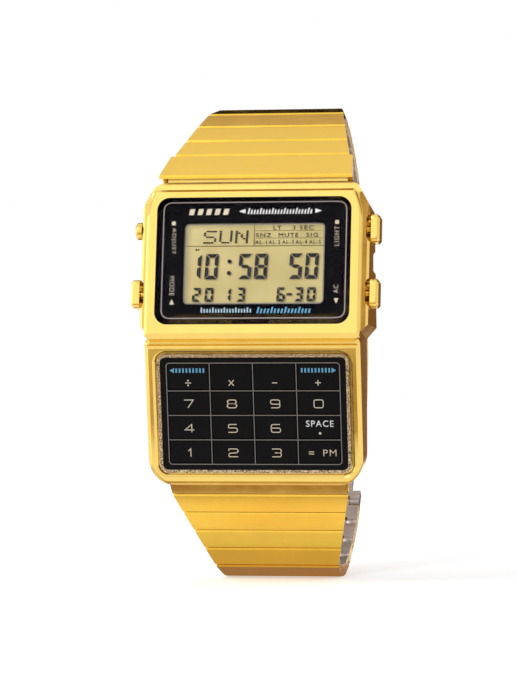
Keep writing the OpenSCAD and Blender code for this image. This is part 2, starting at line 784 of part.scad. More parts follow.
module lower_bar(i) {
  color(gold) mirror([0, 0, 1]) bar(LOWER, i);
}

// Wide piece between the case and the first hinge, with its spring bar
module upper_end_link() {
  back = end_link_reach;
  w = end_link_w / 2;
  low = -back - end_link_nose;
  color(gold) translate([0, upper_start[0], upper_start[1]]) rotate([upper_slope, 0, 0]) {
    difference() {
      intersection() {
        union() {
          along_x(end_link_w) face_profile(low, -bar_gap / 2);
          both_sides(tongue_x + slip, w) {
            translate([-back, -end_link_rise]) circle(lug_r);
            translate([-back - 1.1, core_z])
              square([back + 1.1 - core_in, face_h - face_t - core_z + tiny]);
          }
          block(w, -back + lug_r + 0.3, -core_in, core_z, face_h - face_t + tiny);
          middle_knuckle(0, inner_w(0));
        }
        translate([0, 0, -far / 2]) linear_extrude(far)
          polygon([[-w, low], [w, low], [w - end_link_draw, 0], [w - end_link_draw, 1],
                   [end_link_draw - w, 1], [end_link_draw - w, 0]]);
      }
      rod(-back, -end_link_rise, spring_r + tiny, 2 * w - 1.6);
      rod(0, 0, pin_r + fit, band_w);
    }
    rod(-back, -end_link_rise, spring_r, 2 * w - 1.7);
  }
}

// Arc about the middle of the clasp's curve: the outline's X is the radius and its Y lies along X
module arc(a0, a1) {
  translate([0, clasp_y, clasp_z]) rotate([0, 90, 0]) rotate([0, 0, 90 + a0])
    rotate_extrude(angle = a1 - a0, $fn = 128) children();
}

// Frame on the clasp's curve: Y along the curve towards the case's lower end and Z outwards
module on_curve(a, out = 0) {
  translate([0, clasp_y, clasp_z]) rotate([a - 90, 0, 0]) translate([0, 0, clasp_r + out]) children();
}

module band(x0, x1, r0, r1) {
  translate([clasp_r + r0, x0]) square([r1 - r0, x1 - x0]);
}

module sides_band(x0, x1, r0, r1) {
  band(x0, x1, r0, r1);
  band(-x1, -x0, r0, r1);
}

// Layers of the clasp outside the hinge pins' curve, and half-widths
strip_out = 0.9;
rib_h = 0.15;
rib_r = 0.25;
slider_in = strip_out + 0.35;
slider_out = slider_in + sheet;
cover_in = slider_out + 0.12;
cover_out = cover_in + sheet + 0.1;
strip_x = band_end_w / 2 - strip_in;
slider_x = strip_x + slip + sheet;
cover_x = slider_x + slip + sheet;
slider_low = -15;
slider_high = 8;
cover_r = 0.6;
cover_ear = 4;
lever_a = 5;
lever_out = -0.75;
lever_end = -11;
lever_r = 0.65;
lever_x = 5.6;
lever_pin_x = lever_x + 1.6;
flange_x = lever_x + 0.3;
hinge_out = slider_in + 0.55;

module clasp_catch() {
  p = [clasp_y, clasp_z] + clasp_r * unit(catch_from);
  q = [clasp_y, clasp_z] + clasp_r * unit(cover_top);
  v = q - p;
  len = norm(v);
  w = band_end_w / 2;
  color(gold) translate([0, p[0], p[1]]) rotate([atan2(v[1], v[0]), 0, 0]) {
    difference() {
      union() {
        along_x(2 * w) face_profile(bar_gap / 2, len - 0.35);
        block(w, core_in, len - 0.4, core_z, face_h - face_t + tiny);
        outer_knuckles(inner_w(taper_len), w);
      }
      outer_bores(inner_w(taper_len));
      along_x(2 * w - 4) translate([len - 1.6, core_z - 1]) square([0.7, 1.5]);
    }
    rod(0, 0, pin_r, 2 * w - 0.6);
  }
}

// Curved strip with raised ribs, on which the clasp is set to the wearer's size
module clasp_strip() {
  inner = inner_w(taper_len);
  w = band_end_w / 2;
  from = strip_from + asin(core_in / clasp_r);
  color(gold) {
    difference() {
      union() {
        arc(from, strip_top) band(-strip_x, strip_x, strip_out - strip_t, strip_out);
        for (a = [from + rib_step : rib_step : strip_top - 1])
          on_curve(a, strip_out + rib_h - rib_r) rod(0, 0, rib_r, 2 * strip_x - 2);
        on_curve(strip_from) mirror([0, 1, 0]) {
          outer_knuckles(inner, w);
          block(w, core_in, core_in + 1.2, core_z, face_h - face_t);
        }
      }
      on_curve(strip_from) outer_bores(inner);
    }
    on_curve(strip_from) rod(0, 0, pin_r, 2 * w - 0.6);
  }
}

// Sleeve around the strip, with ears for the cover's hinge outside and the lever's inside
module clasp_slider() {
  color(steel) difference() {
    union() {
      arc(slider_low, slider_high) {
        band(-slider_x, slider_x, slider_in, slider_out);
        sides_band(strip_x + slip, slider_x, lever_out - 0.4, slider_out);
        sides_band(flange_x, slider_x, strip_out - strip_t - slip - sheet, strip_out - strip_t - slip);
      }
      arc(lever_a - 1, lever_a + 1)
        sides_band(flange_x, slider_x - 0.2, lever_out - 0.45, strip_out - strip_t - 0.2);
      on_curve(cover_hinge, hinge_out) {
        rod(0, 0, cover_r, 2 * cover_ear);
        along_x(2 * cover_ear) translate([-2, slider_in - hinge_out + 0.06]) square([2, sheet - 0.14]);
      }
    }
    on_curve(cover_hinge, hinge_out) rod(0, 0, pin_r + fit, 2 * cover_ear + 1);
    on_curve(lever_a, lever_out) rod(0, 0, pin_r + tiny, 2 * lever_pin_x + 0.1);
  }
}

module clasp_lever() {
  color(steel) {
    difference() {
      union() {
        arc(lever_end, lever_a) band(-lever_x, lever_x, lever_out - 0.3, lever_out + 0.2);
        on_curve(lever_a, lever_out) rod(0, 0, lever_r, 2 * lever_x);
        arc(lever_end, lever_end + 1) band(-lever_x, lever_x, lever_out - 0.9, lever_out);
      }
      on_curve(lever_a, lever_out) rod(0, 0, pin_r + fit, 2 * lever_x + 1);
    }
    on_curve(lever_a, lever_out) rod(0, 0, pin_r, 2 * lever_pin_x);
  }
}

// Outer shell that folds over the sleeve and closes against the catch
module clasp_cover() {
  color(gold) {
    difference() {
      union() {
        arc(cover_hinge, cover_top) band(-cover_x, cover_x, cover_in, cover_out);
        arc(cover_hinge + 1.2, cover_top - 0.03)
          sides_band(slider_x + slip, cover_x - tiny, strip_out - 0.5, cover_in + 0.1);
        arc(cover_top - 1, cover_top - 0.06)
          band(-slider_x - 0.3, slider_x + 0.3, strip_out - 0.4, cover_in + 0.2);
        on_curve(cover_hinge, hinge_out) both_sides(cover_ear + slip, cover_x - 0.05) circle(cover_r);
      }
      on_curve(cover_hinge, hinge_out) rod(0, 0, pin_r + tiny, 2 * cover_x - 1);
      on_curve(cover_hinge, hinge_out) block(cover_ear + slip, -1, 2, -2, cover_r + 0.06);
    }
    on_curve(cover_hinge, hinge_out) rod(0, 0, pin_r, 2 * cover_x - 1.1);
  }
}

case_body();
crystal();
display_mask();
lcd_panel();
keypad_panel();
keypad_trim();
key_mat();
module_frame();
circuit_board();
battery();
case_back();
back_gasket();
back_screws();
pusher(-1, pusher_high, true);  // pusher_left_high
pusher(-1, pusher_low, false);  // pusher_left_low
pusher(1, pusher_high, false);  // pusher_right_high
pusher(1, pusher_low, false);  // pusher_right_low
upper_end_link();
for (i = [1:UPPER_BARS]) upper_bar(i);
for (i = [1:LOWER_BARS]) lower_bar(i);
clasp_catch();
clasp_strip();
clasp_slider();
clasp_lever();
clasp_cover();
for (row = [0:3], col = [0:3])
  key(row, col);
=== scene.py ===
import json
import math

import bmesh
import bpy
from mathutils import Matrix, Vector


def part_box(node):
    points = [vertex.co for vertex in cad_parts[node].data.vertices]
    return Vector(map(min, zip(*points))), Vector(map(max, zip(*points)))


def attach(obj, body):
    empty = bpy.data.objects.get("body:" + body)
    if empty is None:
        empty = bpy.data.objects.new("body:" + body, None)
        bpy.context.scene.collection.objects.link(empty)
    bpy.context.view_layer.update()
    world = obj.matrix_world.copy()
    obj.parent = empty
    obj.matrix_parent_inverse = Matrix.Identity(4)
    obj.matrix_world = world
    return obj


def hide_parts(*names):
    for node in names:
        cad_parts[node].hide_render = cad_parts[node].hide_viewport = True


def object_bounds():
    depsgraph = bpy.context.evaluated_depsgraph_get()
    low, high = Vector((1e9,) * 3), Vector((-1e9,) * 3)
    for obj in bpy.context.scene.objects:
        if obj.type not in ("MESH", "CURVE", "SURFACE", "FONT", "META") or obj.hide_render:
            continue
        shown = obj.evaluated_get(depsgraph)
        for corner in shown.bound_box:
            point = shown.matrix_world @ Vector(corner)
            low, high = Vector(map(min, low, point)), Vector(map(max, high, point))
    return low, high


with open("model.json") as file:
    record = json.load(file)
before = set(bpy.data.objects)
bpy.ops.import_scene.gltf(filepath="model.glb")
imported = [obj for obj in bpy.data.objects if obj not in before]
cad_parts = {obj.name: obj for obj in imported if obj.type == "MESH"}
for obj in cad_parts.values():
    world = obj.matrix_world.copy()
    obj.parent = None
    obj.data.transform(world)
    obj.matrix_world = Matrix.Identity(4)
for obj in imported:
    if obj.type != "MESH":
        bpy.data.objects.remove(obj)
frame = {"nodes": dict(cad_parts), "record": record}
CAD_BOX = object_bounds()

# Lengths are written in millimetres and turned into metres where a mesh is made
MM = 0.001
NODES = frame["nodes"]
UPPER = ["upper_bar_%d" % i for i in range(1, 10)]
LOWER = ["lower_bar_%d" % i for i in range(1, 11)]
PUSHERS = ["pusher_left_high", "pusher_left_low", "pusher_right_high", "pusher_right_low"]
KEYS = [["divide", "multiply", "minus", "plus"],
        ["7", "8", "9", "0"],
        ["4", "5", "6", "point"],
        ["1", "2", "3", "equals"]]

# The two sloping faces meet at the ridge and lean back from it
SLOPE = math.radians(9.7)
RIDGE = Vector((0, -8.2, 1.1))


def face_frame(tilt):
    """Axes of a sloping face: X right, Y up the face, Z out of it."""
    side = Vector((1, 0, 0))
    up = Vector((0, math.sin(tilt), math.cos(tilt)))
    out = Vector((0, -math.cos(tilt), math.sin(tilt)))
    return Matrix((side, up, out)).transposed().to_4x4()


DISPLAY = Matrix.Translation(RIDGE) @ face_frame(SLOPE)
KEYPAD = Matrix.Translation(RIDGE) @ face_frame(-SLOPE)


# Camera of the photograph
IMAGE_W = 517
IMAGE_H = 689
FOCAL_PX = 3609.2
SENSOR = 36
DISTANCE = 540
AIM = Vector((1.176, -8.2, -0.96))
YAW = math.radians(9.74)
PITCH = math.radians(-0.27)
ROLL = math.radians(-0.15)


def make_camera():
    flat = math.cos(PITCH)
    ahead = Vector((-math.sin(YAW) * flat, math.cos(YAW) * flat, -math.sin(PITCH)))
    level = Vector((math.cos(YAW), math.sin(YAW), 0))
    upright = level.cross(ahead)
    right = math.cos(ROLL) * level + math.sin(ROLL) * upright
    up = math.cos(ROLL) * upright - math.sin(ROLL) * level
    data = bpy.data.cameras.new("camera")
    data.sensor_width = SENSOR
    data.lens = FOCAL_PX * SENSOR / max(IMAGE_W, IMAGE_H)
    data.clip_start = 0.01
    camera = bpy.data.objects.new("camera", data)
    bpy.context.scene.collection.objects.link(camera)
    turn = Matrix((right, up, -ahead)).transposed().to_4x4()
    camera.matrix_world = Matrix.Translation((AIM - ahead * DISTANCE) * MM) @ turn
    bpy.context.scene.camera = camera


# Materials
MATERIALS = {}


def rgb(r, g, b):
    """Colour from sRGB bytes."""
    def linear(v):
        v = v / 255
        return v / 12.92 if v <= 0.04045 else ((v + 0.055) / 1.055) ** 2.4
    return (linear(r), linear(g), linear(b), 1)


def darker(color, share):
    """The same colour with only a share of its light."""
    return tuple(c * share for c in color[:3]) + (1,)


class Shader:
    """A material's node tree, with short calls for what the materials here share."""

    def __init__(self, name, color, rough, metallic=0.0, specular=0.5):
        self.mat = bpy.data.materials.new(name)
        self.mat.use_nodes = True
        self.mat.diffuse_color = color
        self.nodes = self.mat.node_tree.nodes
        self.links = self.mat.node_tree.links
        self.main = self.nodes["Principled BSDF"]
        self.main.inputs["Base Color"].default_value = color
        self.main.inputs["Roughness"].default_value = rough
        self.main.inputs["Metallic"].default_value = metallic
        self.main.inputs["Specular IOR Level"].default_value = specular
        self.coord = self.nodes.new("ShaderNodeTexCoord").outputs["Object"]
        MATERIALS[name] = self.mat

    def link(self, a, b):
        self.links.new(a, b)

    def noise(self, size, stretch=(1, 1, 1), detail=3.0):
        """Noise with features of about size mm, longer along an axis whose stretch is over 1."""
        mapping = self.nodes.new("ShaderNodeMapping")
        mapping.inputs["Scale"].default_value = [1 / (size * MM * s) for s in stretch]
        self.link(self.coord, mapping.inputs["Vector"])
        node = self.nodes.new("ShaderNodeTexNoise")
        node.inputs["Scale"].default_value = 1
        node.inputs["Detail"].default_value = detail
        node.inputs["Roughness"].default_value = 0.55
        self.link(mapping.outputs["Vector"], node.inputs["Vector"])
        return node.outputs["Fac"]

    def span(self, value, low, high, start=0.3, end=0.7):
        """Value that goes from low to high while the given one goes from start to end."""
        node = self.nodes.new("ShaderNodeMapRange")
        node.inputs["From Min"].default_value = start
        node.inputs["From Max"].default_value = end
        node.inputs["To Min"].default_value = low
        node.inputs["To Max"].default_value = high
        self.link(value, node.inputs["Value"])
        return node.outputs["Result"]

    def mix(self, fac, a, b):
        """Colour from a to b; either is a plain colour or another node's output."""
        node = self.nodes.new("ShaderNodeMix")
        node.data_type = "RGBA"
        self.link(fac, node.inputs["Factor"])
        for socket, value in ((node.inputs[6], a), (node.inputs[7], b)):
            if isinstance(value, tuple):
                socket.default_value = value
            else:
                self.link(value, socket)
        return node.outputs[2]

    def math(self, kind, a, b):
        node = self.nodes.new("ShaderNodeMath")
        node.operation = kind
        self.link(a, node.inputs[0])
        if isinstance(b, float):
            node.inputs[1].default_value = b
        else:
            self.link(b, node.inputs[1])
        return node.outputs["Value"]

    def color(self, value):
        self.link(value, self.main.inputs["Base Color"])

    def rough(self, value):
        self.link(value, self.main.inputs["Roughness"])

    def bump(self, height, depth, lean=None):
        """Relief of that depth in mm; lean turns the surface a little towards a direction."""
        node = self.nodes.new("ShaderNodeBump")
        if lean:
            add = self.nodes.new("ShaderNodeVectorMath")
            self.link(self.nodes.new("ShaderNodeNewGeometry").outputs["Normal"], add.inputs[0])
            add.inputs[1].default_value = lean
            unit = self.nodes.new("ShaderNodeVectorMath")
            unit.operation = "NORMALIZE"
            self.link(add.outputs["Vector"], unit.inputs[0])
            self.link(unit.outputs["Vector"], node.inputs["Normal"])
        node.inputs["Strength"].default_value = 1
        node.inputs["Distance"].default_value = depth * MM
        self.link(height, node.inputs["Height"])
        self.link(node.outputs["Normal"], self.main.inputs["Normal"])

    def edges(self, radius):
        """1 along convex and concave edges, 0 on flat ground."""
        bevel = self.nodes.new("ShaderNodeBevel")
        bevel.samples = 4
        bevel.inputs["Radius"].default_value = radius * MM
        plain = self.nodes.new("ShaderNodeNewGeometry")
        dot = self.nodes.new("ShaderNodeVectorMath")
        dot.operation = "DOT_PRODUCT"
        self.link(bevel.outputs["Normal"], dot.inputs[0])
        self.link(plain.outputs["Normal"], dot.inputs[1])
        return self.span(dot.outputs["Value"], 1, 0, 0.75, 0.97)


GOLD = rgb(243, 208, 114)
BAND_GOLD = rgb(246, 201, 76)
# Paler gold along edges: partly wear, partly painted highlight
WORN_AND_HIGHLIT_GOLD = rgb(252, 226, 140)
TRIM_GOLD = rgb(232, 210, 172)
TRIM_HOLLOW = rgb(84, 64, 46)
STEEL = rgb(196, 184, 180)
INNER_STEEL = rgb(222, 213, 209)
CELL_STEEL = rgb(205, 205, 208)
# Metal seen along its surface keeps this share of what it mirrors
STEEL_RIM = (0.4, 0.37, 0.35, 1)

# What is printed or shown, and its colour
PRINTS = {
    "print_cream": rgb(222, 208, 184),
    "print_white": rgb(236, 236, 238),
    "print_blue": rgb(104, 168, 204),
    "print_pale_blue": rgb(176, 204, 220),
    "print_rose": rgb(190, 172, 172),
    "print_grey": rgb(134, 127, 121),
    "lcd_ink": rgb(16, 9, 8),
    "lcd_faint_ink": rgb(120, 102, 60),
    # Painted shadow of the LCD digits on the panel
    "lcd_shade": rgb(158, 142, 92),
}


def plated(name, color, rough, brush, stretch, depth, spread=0.05, lean=None):
    """Gold plating: brushed grain, faint smudges, and edges a little brighter, partly rubbed by
    wear and partly a painted highlight.
    """
    s = Shader(name, color, rough, metallic=1)
    grain = s.noise(brush, stretch, detail=4)
    smudge = s.noise(5, detail=2)
    tone = s.mix(s.span(smudge, 0, 1), darker(color, 0.93), color)
    # Patches along edges take the paler gold: partly wear, partly painted highlight
    wear_and_highlight = s.math("MULTIPLY", s.edges(0.12), s.span(s.noise(0.7), 0.25, 0.8))
    s.color(s.mix(wear_and_highlight, tone, WORN_AND_HIGHLIT_GOLD))
    base = s.span(grain, rough - spread, rough + spread)
    s.rough(s.math("ADD", base, s.span(smudge, -0.03, 0.04)))
    s.bump(grain, depth, lean)


def bare_steel(name, color, rough, brush, stretch, low=0.8):
    """Brushed steel with cloudy stains; low is how dark a stain gets."""
    s = Shader(name, color, rough, metallic=1)
    grain = s.noise(brush, stretch, detail=4)
    s.color(s.mix(s.span(s.noise(2.5), 0, 1), darker(color, low), color))
    s.rough(s.span(grain, rough - 0.08, rough + 0.1))
    s.bump(grain, 0.004)
    s.main.inputs["Specular Tint"].default_value = STEEL_RIM


def grained(name, color, dark, size, rough, depth, metallic=0.0, specular=0.5):
    """Moulded or stamped surface whose grain is size mm wide, darker in its hollows."""
    s = Shader(name, color, rough, metallic, specular)
    grain = s.noise(size, detail=2)
    s.color(s.mix(s.span(grain, 0, 1, 0.38, 0.62), dark, color))
    s.rough(s.span(grain, rough + 0.08, rough - 0.08))
    s.bump(grain, depth)


def printed(name, color):
    """Printing ink with a faint mottle; lcd_shade uses it for the digits' painted shadow."""
    s = Shader(name, color, 0.5, specular=0.3)
    s.color(s.mix(s.span(s.noise(0.08), 0, 1), darker(color, 0.8), color))


def lcd_ground():
    """Pale ground of the panel, with the mask's shade inside its left and upper edges."""
    s = Shader("lcd", rgb(200, 184, 126), 0.45, specular=0.3)
    broad = s.noise(6, detail=1)
    fine = s.noise(0.09, detail=2)
    tone = s.mix(s.span(broad, 0, 1), rgb(180, 163, 104), rgb(196, 180, 124))
    tone = s.mix(s.span(fine, 0, 0.3), tone, rgb(160, 144, 92))
    place = s.nodes.new("ShaderNodeSeparateXYZ")
    s.link(s.coord, place.inputs["Vector"])
    left = s.span(place.outputs["X"], 0.75, 0, -10.7 * MM, -9.4 * MM)
    top = s.span(place.outputs["Z"], 0, 0.6, 16.4 * MM, 17.4 * MM)
    s.color(s.mix(s.math("MAXIMUM", left, top), tone, rgb(122, 112, 88)))


def board_lacquer():
    """Green lacquer, raised and lighter over the traces."""
    dark = rgb(24, 92, 52)
    s = Shader("board", dark, 0.45)
    traces = s.noise(0.9, detail=0)
    s.color(s.mix(s.span(traces, 0, 1, 0.49, 0.52), dark, rgb(38, 120, 66)))
    s.bump(traces, 0.03)


def clear_crystal():
    """Glass that bends light little and casts no shadow."""
    s = Shader("crystal", (1, 1, 1, 1), 0.0)
    s.main.inputs["IOR"].default_value = 1.12
    s.main.inputs["Transmission Weight"].default_value = 1
    s.rough(s.span(s.noise(8), 0.0, 0.02))
    path = s.nodes.new("ShaderNodeLightPath")
    clear = s.nodes.new("ShaderNodeBsdfTransparent")
    choose = s.nodes.new("ShaderNodeMixShader")
    s.link(path.outputs["Is Shadow Ray"], choose.inputs["Fac"])
    s.link(s.main.outputs["BSDF"], choose.inputs[1])
    s.link(clear.outputs["BSDF"], choose.inputs[2])
    s.link(choose.outputs["Shader"], s.nodes["Material Output"].inputs["Surface"])


def make_materials():
    plated("gold_case", GOLD, rough=0.15, brush=0.05, stretch=(1, 8, 8), depth=0.0008)
    plated("gold_band", BAND_GOLD, rough=0.22, brush=0.06, stretch=(1, 12, 12), depth=0.0001,
           spread=0.02)
    plated("gold_lip", GOLD, rough=0.2, brush=0.05, stretch=(1, 8, 8), depth=0.0004,
           lean=(0, -0.5, -0.35))
    bare_steel("steel", STEEL, rough=0.3, brush=0.08, stretch=(12, 1, 1))
    bare_steel("inner_steel", INNER_STEEL, rough=0.36, brush=0.1, stretch=(12, 1, 1), low=0.82)
    bare_steel("cell_steel", CELL_STEEL, rough=0.2, brush=0.2, stretch=(1, 1, 1))
    grained("gold_trim", TRIM_GOLD, TRIM_HOLLOW, size=0.16, rough=0.45, depth=0.02, metallic=1)
    grained("mask", rgb(8, 6, 10), rgb(5, 4, 7), size=0.3, rough=0.4, depth=0.001, specular=0)
    grained("panel", rgb(13, 12, 14), rgb(6, 5, 7), size=0.12, rough=0.5, depth=0.006,
            specular=0.1)
    grained("rubber", rgb(70, 70, 74), rgb(48, 48, 52), size=0.2, rough=0.8, depth=0.01)
    grained("frame_plastic", rgb(216, 212, 200), rgb(200, 196, 184), size=1.5, rough=0.5,
            depth=0.01)
    for name, color in PRINTS.items():
        printed(name, color)
    lcd_ground()
    board_lacquer()
    clear_crystal()


# Pieces made from the solids
WELD = 0.0005
FLAT_ANGLE = math.radians(0.5)
SOFT_ANGLE = math.radians(24)
SOFT_SEGMENTS = 2


def add_piece(name, mesh, materials, body):
    """New piece that rides on a body and takes the given materials."""
    piece = bpy.data.objects.new(name, mesh)
    bpy.context.scene.collection.objects.link(piece)
    mesh.materials.clear()
    for material in materials:
        mesh.materials.append(MATERIALS[material])
    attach(piece, body)
    return piece


def body_of(node):
    """Name of the body that carries a node."""
    for name, nodes in frame["record"]["behaviour"]["bodies"].items():
        if node in nodes:
            return name


def merged(node):
    """Copy of a CAD node's mesh with its points joined, and flat ground as single faces."""
    mesh = NODES[node].data.copy()
    bm = bmesh.new()
    bm.from_mesh(mesh)
    bmesh.ops.remove_doubles(bm, verts=bm.verts, dist=WELD * MM)
    bmesh.ops.dissolve_degenerate(bm, edges=bm.edges, dist=WELD * MM)
    bmesh.ops.dissolve_limit(bm, angle_limit=FLAT_ANGLE, verts=bm.verts, edges=bm.edges)
    bm.to_mesh(mesh)
    bm.free()
    if mesh.has_custom_normals:
        mesh.attributes.remove(mesh.attributes["custom_normal"])
    return mesh


def softened(node, materials, width):
    """Piece in place of a node, with its edges rounded over that width."""
    piece = add_piece(node + "_dressed", merged(node), materials, body_of(node))
    bevel = piece.modifiers.new("soften", "BEVEL")
    bevel.width = width * MM
    bevel.segments = SOFT_SEGMENTS
    bevel.limit_method = "ANGLE"
    bevel.angle_limit = SOFT_ANGLE
    for polygon in piece.data.polygons:
        polygon.use_smooth = True
    piece.modifiers.new("weights", "WEIGHTED_NORMAL")
    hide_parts(node)
    return piece


# Metal
LOOP_MIDDLE = Vector((0, 15.1, -0.75))
CASE_EDGE = 0.07
PUSHER_EDGE = 0.06
BAND_EDGE = 0.04
# The lip over the end link: faces above this height whose normals lie within these bounds
LIP_LOW = 21.5
LIP_UP_MIN = 0.5
LIP_UP_MAX = 0.7
LIP_FORWARD = -0.7
# How far a pusher's stem ends short of the board, and what counts as its end
STEM_GAP = 0.03
STEM_END = 0.01
# A bar is plated down to this depth below its outer face, and not where it faces the wrist
PLATED_DEPTH = 1.75
INWARD = -0.25
OUTWARD = 0.7


def make_case():
    case = softened("case_body", ["gold_case", "gold_lip"], CASE_EDGE)
    for polygon in case.data.polygons:
        high = polygon.center.z > LIP_LOW * MM
        forward = polygon.normal.y < LIP_FORWARD
        if high and forward and LIP_UP_MIN < polygon.normal.z < LIP_UP_MAX:
            polygon.material_index = 1
    for node in PUSHERS:
        pusher = softened(node, ["gold_case"], PUSHER_EDGE)
        ends = min(abs(v.co.x) for v in pusher.data.vertices)
        for v in pusher.data.vertices:
            if abs(v.co.x) < ends + STEM_END * MM:
                v.co.x += math.copysign(STEM_GAP * MM, v.co.x)


def make_band():
    for node in UPPER + LOWER + ["upper_end_link", "clasp_catch"]:
        piece = softened(node, ["gold_band", "inner_steel"], BAND_EDGE)
        low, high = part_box(node)
        paint_inside(piece.data, (Vector(low) + Vector(high)) / 2)


def paint_inside(mesh, middle):
    """The side of a bar that lies on the wrist is bare steel."""
    up = plate_normal(mesh, middle - LOOP_MIDDLE * MM)
    top = max(v.co.dot(up) for v in mesh.vertices)
    for polygon in mesh.polygons:
        inward = polygon.normal.dot(up) < INWARD
        if inward or polygon.center.dot(up) < top - PLATED_DEPTH * MM:
            polygon.material_index = 1


def plate_normal(mesh, outward):
    """Normal of the largest face that looks away from the middle of the loop."""
    flat = Vector((0, outward.y, outward.z)).normalized()
    facing = [p for p in mesh.polygons if p.normal.dot(flat) > OUTWARD]
    return max(facing, key=lambda p: p.area).normal.copy()


def dress_nodes():
    """Materials of the nodes that are kept as they are."""
    plain = {"crystal": "crystal", "display_mask": "mask", "lcd_panel": "lcd",
             "keypad_panel": "panel", "keypad_trim": "gold_trim", "key_mat": "rubber",
             "module_frame": "frame_plastic", "circuit_board": "board",
             "battery": "cell_steel", "case_back": "steel", "back_gasket": "rubber",
             "back_screws": "steel", "clasp_slider": "steel", "clasp_lever": "steel",
             "clasp_cover": "gold_band", "clasp_strip": "inner_steel"}
    for row in KEYS:
        for name in row:
            plain["key_" + name] = "panel"
    for node, material in plain.items():
        for slot in NODES[node].material_slots:
            slot.material = MATERIALS[material]


# Print and display segments: thin solids in the frame of a face
MITER_LIMIT = 0.4
CAPITAL_SHARE = 0.72
LETTER_SPACE = 1.18
WORD_WELD = 0.0001
WORD_ANGLE = math.radians(1)


def flat_words(words, size, bold):
    """Flat faces of words, in the text's own plane."""
    curve = bpy.data.curves.new("words", "FONT")
    curve.body = words
    curve.align_x = "CENTER"
    curve.align_y = "CENTER"
    curve.size = size
    curve.offset = bold
    curve.space_character = LETTER_SPACE
    curve.resolution_u = 3
    holder = bpy.data.objects.new("words", curve)
    bpy.context.scene.collection.objects.link(holder)
    bpy.context.view_layer.update()
    depsgraph = bpy.context.evaluated_depsgraph_get()
    flat = bpy.data.meshes.new_from_object(holder.evaluated_get(depsgraph))
    bpy.data.objects.remove(holder)
    bpy.data.curves.remove(curve)
    bm = bmesh.new()
    bm.from_mesh(flat)
    bpy.data.meshes.remove(flat)
    return bm


class Batch:
    """Many thin shapes between two heights over a face, which become one piece."""

    def __init__(self, face, layer):
        self.face = face
        self.low, self.high = layer
        self.bm = bmesh.new()

    def corners(self, points):
        """Points of an outline at the lower and at the upper height."""
        return [[self.bm.verts.new(self.face @ Vector((x, y, height))) for x, y in points]
                for height in (self.low, self.high)]

    def shape(self, points):
        """Solid from an outline, given anticlockwise."""
        base, top = self.corners(points)
        self.bm.faces.new(base[::-1])
        self.bm.faces.new(top)
        for i in range(len(points)):
            j = (i + 1) % len(points)
            self.bm.faces.new((base[i], base[j], top[j], top[i]))

    def bar(self, x0, y0, x1, y1):
        self.shape([(x0, y0), (x1, y0), (x1, y1), (x0, y1)])

    def line(self, points, w, closed=False):
        """Line of width w through points, mitred at its corners."""
        count = len(points)
        rows = []
        for i, (x, y) in enumerate(points):
            ways = []
            if closed or i > 0:
                before = points[i - 1]
                ways.append(Vector((x - before[0], y - before[1])).normalized())
            if closed or i < count - 1:
                after = points[(i + 1) % count]
                ways.append(Vector((after[0] - x, after[1] - y)).normalized())
            way = (ways[0] + ways[-1]).normalized()
            reach = w / 2 / max(MITER_LIMIT, way.dot(ways[0]))
            rows.append(self.corners([(x - way.y * reach, y + way.x * reach),
                                      (x + way.y * reach, y - way.x * reach)]))
        for i in range(count if closed else count - 1):
            (a_low, b_low), (a_high, b_high) = rows[i]
            (c_low, d_low), (c_high, d_high) = rows[(i + 1) % count]
            self.bm.faces.new((a_high, b_high, d_high, c_high))
            self.bm.faces.new((a_low, c_low, d_low, b_low))
            self.bm.faces.new((a_low, a_high, c_high, c_low))
            self.bm.faces.new((b_low, d_low, d_high, b_high))
        if not closed:
            for row in (rows[0], rows[-1]):
                (a_low, b_low), (a_high, b_high) = row
                self.bm.faces.new((a_low, b_low, b_high, a_high))

    def ring(self, x0, y0, x1, y1, r, w):
        self.line(rounded(x0, y0, x1, y1, r), w, closed=True)

    def text(self, words, x, y, height, width, bold=0.0, turn=0):
        """Words centred on x, y and drawn out to that height and width."""
        bm = flat_words(words, height / CAPITAL_SHARE, bold)
        xs = [v.co.x for v in bm.verts]
        ys = [v.co.y for v in bm.verts]
        middle = Vector(((min(xs) + max(xs)) / 2, (min(ys) + max(ys)) / 2, 0))
        stretch = Matrix.Diagonal((width / (max(xs) - min(xs)), height / (max(ys) - min(ys)), 1, 1))
        bmesh.ops.remove_doubles(bm, verts=bm.verts, dist=WORD_WELD)
        bmesh.ops.dissolve_limit(bm, angle_limit=WORD_ANGLE, verts=bm.verts, edges=bm.edges)
        bmesh.ops.triangulate(bm, faces=bm.faces)
        made = bmesh.ops.extrude_face_region(bm, geom=bm.faces[:])
        for v in made["geom"]:
            if isinstance(v, bmesh.types.BMVert):
                v.co.z += self.high - self.low
        bmesh.ops.recalc_face_normals(bm, faces=bm.faces)
        place = self.face @ Matrix.Translation((x, y, self.low))
        turned = place @ Matrix.Rotation(math.radians(turn), 4, "Z")
        bm.transform(turned @ stretch @ Matrix.Translation(-middle))
        mesh = bpy.data.meshes.new("words")
        bm.to_mesh(mesh)
        bm.free()
        self.bm.from_mesh(mesh)
        bpy.data.meshes.remove(mesh)

    def piece(self, name, material, body, slot):
        self.bm.transform(Matrix.Scale(MM, 4))
        bmesh.ops.recalc_face_normals(self.bm, faces=self.bm.faces)
        mesh = bpy.data.meshes.new(name)
        self.bm.to_mesh(mesh)
        self.bm.free()
        add_piece(name, mesh, [material], body)


def rounded(x0, y0, x1, y1, r, steps=8):
    """Rounded rectangle, anticlockwise from its lower right corner."""
    points = []
    for cx, cy, start in ((x1 - r, y0 + r, -90), (x1 - r, y1 - r, 0),
                          (x0 + r, y1 - r, 90), (x0 + r, y0 + r, 180)):
        for k in range(steps + 1):
            a = math.radians(start + 90 * k / steps)
            points.append((cx + r * math.cos(a), cy + r * math.sin(a)))
    return points


